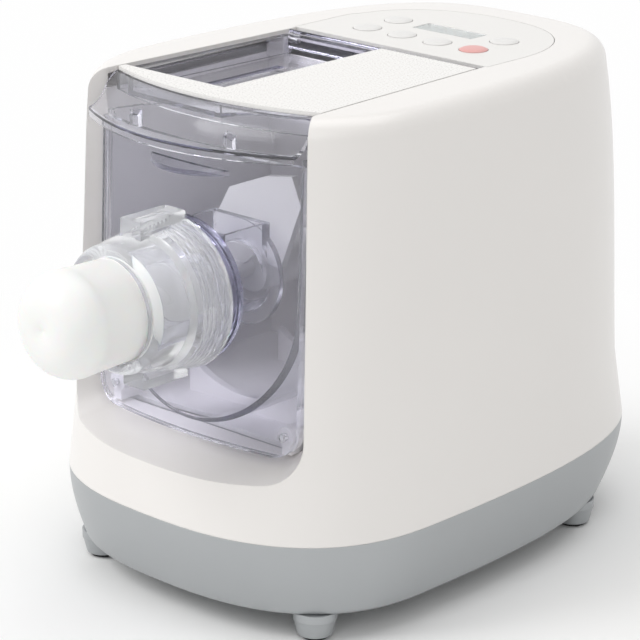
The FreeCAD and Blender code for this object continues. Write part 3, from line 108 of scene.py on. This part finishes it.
def makeFinish(name, look):  # opaque plastics, metals and rubber
    material, tree, shader, place = startMaterial(name)
    colour = look["colour"]
    vary = look.get("vary", 0.015)
    cloud = addNoise(tree, place, look.get("cloudScale", 9), 2, look.get("stretch"))
    dark = tuple(max(0, part * (1 - vary)) for part in colour)
    light = tuple(min(1, part * (1 + vary)) for part in colour)
    tree.links.new(tint(tree, cloud, dark, light), shader.inputs["Base Color"])
    rough = look["roughness"]
    grain = addNoise(tree, place, look.get("grainScale", 900), 3, look.get("stretch"))
    tree.links.new(spread(tree, grain, rough * 0.92, rough * 1.08), shader.inputs["Roughness"])
    addBump(tree, shader, grain, look.get("bump", 0.000004), look.get("roundEdge", 0))
    shader.inputs["Metallic"].default_value = look.get("metal", 0)
    shader.inputs["Coat Weight"].default_value = look.get("coat", 0)
    shader.inputs["Coat Roughness"].default_value = look.get("coatRoughness", 0.1)
    shader.inputs["Subsurface Weight"].default_value = look.get("soft", 0)
    shader.inputs["Subsurface Scale"].default_value = 0.004
    return material


def makeClear(name, look):  # see-through mouldings: lamps reach what is behind, thick ways through are tinted
    material, tree, shader, place = startMaterial(name)
    shader.inputs["Base Color"].default_value = (*look["colour"], 1)
    shader.inputs["Transmission Weight"].default_value = look["clear"]
    shader.inputs["IOR"].default_value = look["ior"]
    grain = addNoise(tree, place, 60, 2)
    rough = look["roughness"]
    tree.links.new(spread(tree, grain, rough * 0.7, rough * 1.3), shader.inputs["Roughness"])
    addBump(tree, shader, grain, look.get("bump", 0.00002))
    rays = tree.nodes.new("ShaderNodeLightPath")
    through = tree.nodes.new("ShaderNodeBsdfTransparent")
    through.inputs["Color"].default_value = (*look["shade"], 1)
    mix = tree.nodes.new("ShaderNodeMixShader")
    tree.links.new(rays.outputs["Is Shadow Ray"], mix.inputs[0])
    tree.links.new(shader.outputs["BSDF"], mix.inputs[1])
    tree.links.new(through.outputs["BSDF"], mix.inputs[2])
    tree.links.new(mix.outputs["Shader"], tree.nodes["Material Output"].inputs["Surface"])
    if look.get("density"):
        depth = tree.nodes.new("ShaderNodeVolumeAbsorption")
        depth.inputs["Color"].default_value = (*look["depthColour"], 1)
        depth.inputs["Density"].default_value = look["density"]
        tree.links.new(depth.outputs["Volume"], tree.nodes["Material Output"].inputs["Volume"])
    return material


finishes = {
    "shell_white": {"colour": (0.815, 0.79, 0.765), "roughness": 0.30, "vary": 0.006, "bump": 0.0000015,
                    "coat": 0.25, "coatRoughness": 0.18, "roundEdge": 0.0009},
    "cover_white": {"colour": (0.80, 0.785, 0.76), "roughness": 0.28, "vary": 0.006, "bump": 0.000001,
                    "coat": 0.3, "coatRoughness": 0.16, "roundEdge": 0.0007},
    "deck_white": {"colour": (0.775, 0.76, 0.735), "roughness": 0.33, "vary": 0.006, "bump": 0.0000015,
                   "coat": 0.2, "roundEdge": 0.0006},
    "button_white": {"colour": (0.74, 0.73, 0.715), "roughness": 0.35, "vary": 0.01},
    "button_pink": {"colour": (0.74, 0.38, 0.36), "roughness": 0.38, "vary": 0.03},
    "cap_white": {"colour": (0.86, 0.855, 0.84), "roughness": 0.38, "vary": 0.008, "soft": 0.25},
    "paddle_white": {"colour": (0.64, 0.635, 0.635), "roughness": 0.34, "vary": 0.01},
    "liner_grey": {"colour": (0.86, 0.84, 0.84), "roughness": 0.45, "vary": 0.02},
    "base_silver": {"colour": (0.415, 0.43, 0.44), "roughness": 0.38, "vary": 0.015, "metal": 0.5,
                    "cloudScale": 14, "grainScale": 5200, "roundEdge": 0.0008},
    "lcd_frame": {"colour": (0.30, 0.32, 0.31), "roughness": 0.5, "vary": 0.04},
    "dark_rubber": {"colour": (0.012, 0.012, 0.013), "roughness": 0.7, "vary": 0.2, "bump": 0.00003},
    "seal_rubber": {"colour": (0.55, 0.55, 0.57), "roughness": 0.5, "vary": 0.03},
    "steel": {"colour": (0.56, 0.56, 0.57), "roughness": 0.28, "metal": 1, "vary": 0.05,
              "stretch": (1, 0.05, 1), "grainScale": 1800},
    "screw_steel": {"colour": (0.60, 0.60, 0.61), "roughness": 0.22, "metal": 1, "vary": 0.05},
    "gear_nylon": {"colour": (0.72, 0.69, 0.60), "roughness": 0.42, "vary": 0.03, "bump": 0.00001},
    "pinion_steel": {"colour": (0.42, 0.42, 0.43), "roughness": 0.3, "metal": 1, "vary": 0.08},
    "case_alloy": {"colour": (0.46, 0.46, 0.47), "roughness": 0.5, "metal": 0.9, "vary": 0.1,
                   "grainScale": 1400, "bump": 0.00004},
    "bush_bronze": {"colour": (0.60, 0.36, 0.14), "roughness": 0.35, "metal": 1, "vary": 0.1},
    "magnet_grey": {"colour": (0.045, 0.045, 0.047), "roughness": 0.6, "vary": 0.2, "bump": 0.00003},
    "copper": {"colour": (0.62, 0.22, 0.08), "roughness": 0.3, "metal": 0.9, "vary": 0.15,
               "stretch": (40, 1, 40), "grainScale": 60, "bump": 0.0001},
    "carbon": {"colour": (0.02, 0.02, 0.02), "roughness": 0.6, "vary": 0.2},
    "board_green": {"colour": (0.02, 0.13, 0.05), "roughness": 0.35, "vary": 0.25, "cloudScale": 160},
    "parts_dark": {"colour": (0.03, 0.03, 0.032), "roughness": 0.5, "vary": 0.3, "cloudScale": 60},
    "fan_black": {"colour": (0.02, 0.02, 0.022), "roughness": 0.45, "vary": 0.2},
}
clearFinishes = {
    "clear_plastic": {"clear": 0.92, "colour": (0.995, 0.995, 1.0), "ior": 1.27, "roughness": 0.012,
                      "shade": (0.97, 0.97, 0.98), "depthColour": (0.46, 0.46, 0.80), "density": 14},
    "lid_clear": {"clear": 0.97, "colour": (0.995, 0.995, 1.0), "ior": 1.27, "roughness": 0.012,
                  "shade": (0.97, 0.97, 0.98), "depthColour": (0.42, 0.41, 0.80), "density": 24},
    "panel_clear": {"clear": 0.975, "colour": (0.995, 0.995, 1.0), "ior": 1.27, "roughness": 0.012,
                    "shade": (0.97, 0.97, 0.98), "depthColour": (0.40, 0.39, 0.80), "density": 26},
    "nut_clear": {"clear": 0.8, "colour": (0.97, 0.975, 0.98), "ior": 1.24, "roughness": 0.03,
                  "shade": (0.98, 0.98, 0.98), "depthColour": (0.72, 0.74, 0.82), "density": 5},
    "lcd_grey": {"clear": 0.9, "colour": (0.88, 0.90, 0.90), "ior": 1.4, "roughness": 0.08,
                 "shade": (0.9, 0.9, 0.9)},
}
materials = {name: makeFinish(name, look) for name, look in finishes.items()}
materials.update({name: makeClear(name, look) for name, look in clearFinishes.items()})
print("materials made:", len(materials))


# a smooth-shaded, merged copy of a CAD node stands for it
skinLook = {"mergeDistance": 0.000004, "creaseAngle": 28}


def addObject(name, data):
    item = bpy.data.objects.new(name, data)
    bpy.context.scene.collection.objects.link(item)
    return item


def mergedMesh(node):
    mesh = cadNodes[node].data.copy()
    work = bmesh.new()
    work.from_mesh(mesh)
    bmesh.ops.remove_doubles(work, verts=work.verts, dist=skinLook["mergeDistance"])
    return mesh, work


def skinNode(node, finish):
    crease = math.radians(skinLook["creaseAngle"])
    mesh, work = mergedMesh(node)
    for face in work.faces:
        face.smooth = True
    for edge in work.edges:
        edge.smooth = len(edge.link_faces) == 2 and edge.calc_face_angle(0) < crease
    work.to_mesh(mesh)
    work.free()
    mesh.materials.clear()
    mesh.materials.append(materials[finish])
    standFor(addObject(node + "_skin", mesh), node)


def standFor(piece, node):
    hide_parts(node)
    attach(piece, bodyOf[node])


skins = {
    "housing_shell": "shell_white", "base_shell": "base_silver", "lid": "lid_clear",
    "lid_cover": "cover_white", "control_panel": "deck_white", "front_panel": "panel_clear",
    "mixing_bowl": "clear_plastic", "extruder_barrel": "clear_plastic", "chamber_liner": "liner_grey",
    "locking_nut": "nut_clear", "end_cap": "cap_white", "paddle": "paddle_white", "auger": "paddle_white",
    "feet": "base_silver", "shaping_disc": "cap_white", "cord_inlet": "dark_rubber",
    "left_outer_button": "button_white", "left_inner_button": "button_white",
    "right_inner_button": "button_white", "start_button": "button_pink",
    "left_rear_button": "button_white", "right_rear_button": "button_white",
}
for node, finish in skins.items():
    skinNode(node, finish)
print("skins made:", len(skins))


# places of the separate solids in a node that holds several
def solidBoxes(node):
    mesh, work = mergedMesh(node)
    left = set(work.verts)
    boxes = []
    while left:
        reached = {left.pop()}
        front = list(reached)
        while front:
            for edge in front.pop().link_edges:
                for vert in edge.verts:
                    if vert not in reached:
                        reached.add(vert)
                        front.append(vert)
        left -= reached
        low = Vector([min(vert.co[axis] for vert in reached) for axis in range(3)])
        high = Vector([max(vert.co[axis] for vert in reached) for axis in range(3)])
        boxes.append((low, high))
    work.free()
    bpy.data.meshes.remove(mesh)
    return sorted(boxes, key=lambda pair: (round(pair[0].y, 4), pair[0].x))


# Geometry Nodes: one group is built, filled with named sizes and set out on a list of points
def startGroup(name, sizes):
    group = bpy.data.node_groups.new(name, "GeometryNodeTree")
    group.interface.new_socket("Geometry", in_out="INPUT", socket_type="NodeSocketGeometry")
    group.interface.new_socket("Material", in_out="INPUT", socket_type="NodeSocketMaterial")
    for label in sizes:
        group.interface.new_socket(label, in_out="INPUT", socket_type="NodeSocketFloat")
    group.interface.new_socket("Geometry", in_out="OUTPUT", socket_type="NodeSocketGeometry")
    return group, group.nodes.new("NodeGroupInput"), group.nodes.new("NodeGroupOutput")


def scaled(group, source, factor):
    times = group.nodes.new("ShaderNodeMath")
    times.operation = "MULTIPLY"
    times.inputs[1].default_value = factor
    group.links.new(source, times.inputs[0])
    return times.outputs[0]


def raised(group, shape, height):
    lift = group.nodes.new("ShaderNodeCombineXYZ")
    group.links.new(height, lift.inputs["Z"])
    move = group.nodes.new("GeometryNodeTransform")
    group.links.new(shape, move.inputs["Geometry"])
    group.links.new(lift.outputs[0], move.inputs["Translation"])
    return move.outputs[0]


def rodShape(group, radius, length, sides):
    rod = group.nodes.new("GeometryNodeMeshCylinder")
    rod.inputs["Vertices"].default_value = sides
    group.links.new(radius, rod.inputs["Radius"])
    group.links.new(length, rod.inputs["Depth"])
    return raised(group, rod.outputs["Mesh"], scaled(group, length, 0.5))


def closeGroup(group, given, out, shapes):
    join = group.nodes.new("GeometryNodeJoinGeometry")
    for shape in shapes:
        group.links.new(shape, join.inputs[0])
    spots = group.nodes.new("GeometryNodeMeshToPoints")
    group.links.new(given.outputs["Geometry"], spots.inputs["Mesh"])
    copies = group.nodes.new("GeometryNodeInstanceOnPoints")
    group.links.new(spots.outputs["Points"], copies.inputs["Points"])
    group.links.new(join.outputs[0], copies.inputs["Instance"])
    real = group.nodes.new("GeometryNodeRealizeInstances")
    group.links.new(copies.outputs[0], real.inputs[0])
    finish = group.nodes.new("GeometryNodeSetMaterial")
    group.links.new(real.outputs[0], finish.inputs["Geometry"])
    group.links.new(given.outputs["Material"], finish.inputs["Material"])
    group.links.new(finish.outputs[0], out.inputs[0])


def setOut(name, group, places, finish, sizes):
    seeds = bpy.data.meshes.new(name + "_places")
    seeds.from_pydata([tuple(place) for place in places], [], [])
    holder = addObject(name + "_places", seeds)
    modifier = holder.modifiers.new(name, "NODES")
    modifier.node_group = group
    values = dict(sizes, Material=materials[finish])
    for item in group.interface.items_tree:
        if item.in_out == "INPUT" and item.name in values:
            modifier[item.identifier] = values[item.name]
    bpy.context.view_layer.update()
    mesh = bpy.data.meshes.new_from_object(holder.evaluated_get(bpy.context.evaluated_depsgraph_get()))
    bpy.data.objects.remove(holder)
    return addObject(name, mesh)


# base screws: a pan head with a cross recess under each post, and a ribbed shank
screwBoxes = solidBoxes("base_screws")
screwLook = {"headShare": 0.085, "headSides": 32, "slotShare": 0.30, "armSpan": 4, "shankShare": 0.52,
             "coreShare": 0.82, "coreSides": 20, "turns": 11, "threadSteps": 20, "threadRadius": 0.9,
             "threadLength": 0.42, "threadStart": 0.55, "ridgeShare": 0.10, "headFit": 0.99, "lengthFit": 0.995}


def makeScrewGroup():
    group, given, out = startGroup("screwSet", ["Head Radius", "Length"])
    radius, length = given.outputs["Head Radius"], given.outputs["Length"]
    headHeight = scaled(group, length, screwLook["headShare"])
    shank = scaled(group, radius, screwLook["shankShare"])
    head = rodShape(group, radius, headHeight, screwLook["headSides"])
    cross = []
    for across, along in ((screwLook["armSpan"], 1), (1, screwLook["armSpan"])):
        bar = group.nodes.new("GeometryNodeMeshCube")
        size = group.nodes.new("ShaderNodeCombineXYZ")
        wide = scaled(group, radius, screwLook["slotShare"] * across)
        deep = scaled(group, radius, screwLook["slotShare"] * along)
        group.links.new(wide, size.inputs["X"])
        group.links.new(deep, size.inputs["Y"])
        group.links.new(headHeight, size.inputs["Z"])
        group.links.new(size.outputs[0], bar.inputs["Size"])
        cross.append(bar.outputs["Mesh"])
    cut = group.nodes.new("GeometryNodeMeshBoolean")
    cut.operation = "DIFFERENCE"
    group.links.new(head, cut.inputs["Mesh 1"])
    for bar in cross:
        group.links.new(bar, cut.inputs["Mesh 2"])
    core = rodShape(group, scaled(group, shank, screwLook["coreShare"]), length, screwLook["coreSides"])
    path = group.nodes.new("GeometryNodeCurveSpiral")  # the thread runs along the upper half of the shank
    path.inputs["Resolution"].default_value = screwLook["threadSteps"]
    path.inputs["Rotations"].default_value = screwLook["turns"]
    for end in ("Start Radius", "End Radius"):
        group.links.new(scaled(group, shank, screwLook["threadRadius"]), path.inputs[end])
    group.links.new(scaled(group, length, screwLook["threadLength"]), path.inputs["Height"])
    ridge = group.nodes.new("GeometryNodeCurvePrimitiveCircle")
    ridge.inputs["Resolution"].default_value = 4
    group.links.new(scaled(group, shank, screwLook["ridgeShare"]), ridge.inputs["Radius"])
    thread = group.nodes.new("GeometryNodeCurveToMesh")
    thread.inputs["Fill Caps"].default_value = True
    group.links.new(path.outputs["Curve"], thread.inputs["Curve"])
    group.links.new(ridge.outputs["Curve"], thread.inputs["Profile Curve"])
    threadUp = raised(group, thread.outputs["Mesh"], scaled(group, length, screwLook["threadStart"]))
    closeGroup(group, given, out, [cut.outputs["Mesh"], core, threadUp])
    return group


screwPlaces = [((low.x + high.x) / 2, (low.y + high.y) / 2, low.z) for low, high in screwBoxes]
screwSizes = {"Head Radius": (screwBoxes[0][1].x - screwBoxes[0][0].x) / 2 * screwLook["headFit"],
              "Length": (screwBoxes[0][1].z - screwBoxes[0][0].z) * screwLook["lengthFit"]}
screws = setOut("base_screw_set", makeScrewGroup(), screwPlaces, "screw_steel", screwSizes)
standFor(screws, "base_screws")
print("base screws set out:", len(screwPlaces))

# foot pads: a rubber disc with raised rings under each foot
padLook = {"rings": (0.9, 0.62, 0.34), "ringThick": 0.075, "ringLift": 0.0765, "ringSides": 10,
           "bodyShare": 0.8, "sides": 48, "radiusFit": 0.995}
padBoxes = solidBoxes("foot_pads")


def makePadGroup():
    group, given, out = startGroup("padSet", ["Radius", "Height"])
    radius, height = given.outputs["Radius"], given.outputs["Height"]
    plate = rodShape(group, radius, scaled(group, height, padLook["bodyShare"]), padLook["sides"])
    disc = raised(group, plate, scaled(group, height, 1 - padLook["bodyShare"]))
    shapes = [disc]
    for share in padLook["rings"]:
        path = group.nodes.new("GeometryNodeCurvePrimitiveCircle")
        path.inputs["Resolution"].default_value = padLook["sides"]
        group.links.new(scaled(group, radius, share), path.inputs["Radius"])
        profile = group.nodes.new("GeometryNodeCurvePrimitiveCircle")
        profile.inputs["Resolution"].default_value = padLook["ringSides"]
        thick = scaled(group, radius, padLook["ringThick"])
        group.links.new(thick, profile.inputs["Radius"])
        ring = group.nodes.new("GeometryNodeCurveToMesh")
        group.links.new(path.outputs["Curve"], ring.inputs["Curve"])
        group.links.new(profile.outputs["Curve"], ring.inputs["Profile Curve"])
        shapes.append(raised(group, ring.outputs["Mesh"], scaled(group, radius, padLook["ringLift"])))
    closeGroup(group, given, out, shapes)
    return group


padPlaces = [((low.x + high.x) / 2, (low.y + high.y) / 2, low.z) for low, high in padBoxes]
padSizes = {"Radius": (padBoxes[0][1].x - padBoxes[0][0].x) / 2 * padLook["radiusFit"],
            "Height": padBoxes[0][1].z - padBoxes[0][0].z}
pads = setOut("foot_pad_set", makePadGroup(), padPlaces, "dark_rubber", padSizes)
standFor(pads, "foot_pads")
print("foot pads set out:", len(padPlaces))

# the hidden nodes keep their CAD mesh and get their finish
replaced = set(skins) | {"base_screws", "foot_pads"}
for node, item in cadNodes.items():
    if node not in replaced:
        item.data.materials.clear()
        item.data.materials.append(materials[slotOf[node]])
print("plain nodes finished:", len(cadNodes) - len(replaced))

# floor: shadows near the machine, fading to the pale backdrop further out
floorLook = {"colour": (0.95, 0.95, 0.945), "paleShare": 0.995, "cloudScale": 2, "roughness": 0.9,
             "specular": 0.1, "backdrop": (0.995, 0.995, 0.995), "near": 0.15, "far": 0.48, "size": 9}
floorMaterial, floorTree, floorShader, floorPlace = startMaterial("floor_pale")
pale = tuple(part * floorLook["paleShare"] for part in floorLook["colour"])
floorCloud = addNoise(floorTree, floorPlace, floorLook["cloudScale"])
floorTree.links.new(tint(floorTree, floorCloud, pale, floorLook["colour"]), floorShader.inputs["Base Color"])
floorShader.inputs["Roughness"].default_value = floorLook["roughness"]
floorShader.inputs["Specular IOR Level"].default_value = floorLook["specular"]
away = floorTree.nodes.new("ShaderNodeVectorMath")
away.operation = "LENGTH"
floorTree.links.new(floorPlace.outputs["Object"], away.inputs[0])
fade = floorTree.nodes.new("ShaderNodeMapRange")
fade.interpolation_type = "SMOOTHSTEP"
fade.inputs["From Min"].default_value = floorLook["near"]
fade.inputs["From Max"].default_value = floorLook["far"]
floorTree.links.new(away.outputs["Value"], fade.inputs["Value"])


def seenDirectly(tree):  # 1 for camera, mirror and see-through rays, 0 for light that falls on the machine
    rays = tree.nodes.new("ShaderNodeLightPath")
    result = rays.outputs["Is Camera Ray"]
    for other in ("Is Glossy Ray", "Is Transmission Ray"):
        larger = tree.nodes.new("ShaderNodeMath")
        larger.operation = "MAXIMUM"
        tree.links.new(result, larger.inputs[0])
        tree.links.new(rays.outputs[other], larger.inputs[1])
        result = larger.outputs[0]
    return result


share = floorTree.nodes.new("ShaderNodeMath")
share.operation = "MULTIPLY"
floorTree.links.new(fade.outputs["Result"], share.inputs[0])
floorTree.links.new(seenDirectly(floorTree), share.inputs[1])
glow = floorTree.nodes.new("ShaderNodeEmission")
glow.inputs["Color"].default_value = (*floorLook["backdrop"], 1)
floorMix = floorTree.nodes.new("ShaderNodeMixShader")
floorTree.links.new(share.outputs[0], floorMix.inputs[0])
floorTree.links.new(floorShader.outputs["BSDF"], floorMix.inputs[1])
floorTree.links.new(glow.outputs[0], floorMix.inputs[2])
floorTree.links.new(floorMix.outputs[0], floorTree.nodes["Material Output"].inputs["Surface"])
bpy.ops.mesh.primitive_plane_add(size=floorLook["size"], location=(0, 0, 0))
floor = bpy.context.object
floor.name = "floor"
floor.data.materials.append(floorMaterial)

# world: an even room light, and the pale backdrop where it is seen
worldLook = {"room": 0.58, "backdrop": (0.995, 0.995, 0.995)}
world = bpy.data.worlds.new("studio")
bpy.context.scene.world = world
world.use_nodes = True
worldTree = world.node_tree
worldTree.nodes.clear()
roomLight = worldTree.nodes.new("ShaderNodeBackground")
roomLight.inputs["Color"].default_value = (1, 1, 1, 1)
roomLight.inputs["Strength"].default_value = worldLook["room"]
backdrop = worldTree.nodes.new("ShaderNodeBackground")
backdrop.inputs["Color"].default_value = (*worldLook["backdrop"], 1)
worldMix = worldTree.nodes.new("ShaderNodeMixShader")
worldTree.links.new(seenDirectly(worldTree), worldMix.inputs[0])
worldTree.links.new(roomLight.outputs[0], worldMix.inputs[1])
worldTree.links.new(backdrop.outputs[0], worldMix.inputs[2])
worldOut = worldTree.nodes.new("ShaderNodeOutputWorld")
worldTree.links.new(worldMix.outputs[0], worldOut.inputs["Surface"])

lamps = {
    "key_lamp": {"at": (-1.1, -1.5, 1.7), "size": 1.3, "power": 25},
    "side_lamp": {"at": (1.5, -1.7, 1.2), "size": 1.6, "power": 7},
    "top_lamp": {"at": (0.2, 0.4, 2.2), "size": 1.6, "power": 12},
}
aim = Vector((0, 0, 0.13))
for name, lamp in lamps.items():
    light = bpy.data.lights.new(name, "AREA")
    light.shape = "SQUARE"
    light.size = lamp["size"]
    light.energy = lamp["power"]
    holder = addObject(name, light)
    holder.location = lamp["at"]
    holder.rotation_euler = (aim - Vector(lamp["at"])).to_track_quat("-Z", "Y").to_euler()
print("floor, world and lamps set")

# camera: in front and to the right, looking slightly down
shot = {"azimuth": 43.32, "elevation": 18.37, "target": (0, 0.00204, 0.12512), "distance": 1.5166,
        "lens": 166.4, "sensor": 36}
turn, lift = math.radians(shot["azimuth"]), math.radians(shot["elevation"])
back = Vector((math.sin(turn) * math.cos(lift), -math.cos(turn) * math.cos(lift), math.sin(lift)))
cameraData = bpy.data.cameras.new("camera")
cameraData.sensor_width = shot["sensor"]
cameraData.lens = shot["lens"]
camera = addObject("camera", cameraData)
camera.location = Vector(shot["target"]) + back * shot["distance"]
camera.rotation_euler = (-back).to_track_quat("-Z", "Y").to_euler()
bpy.context.scene.camera = camera
bpy.context.scene.view_settings.view_transform = "Standard"
print("camera set")
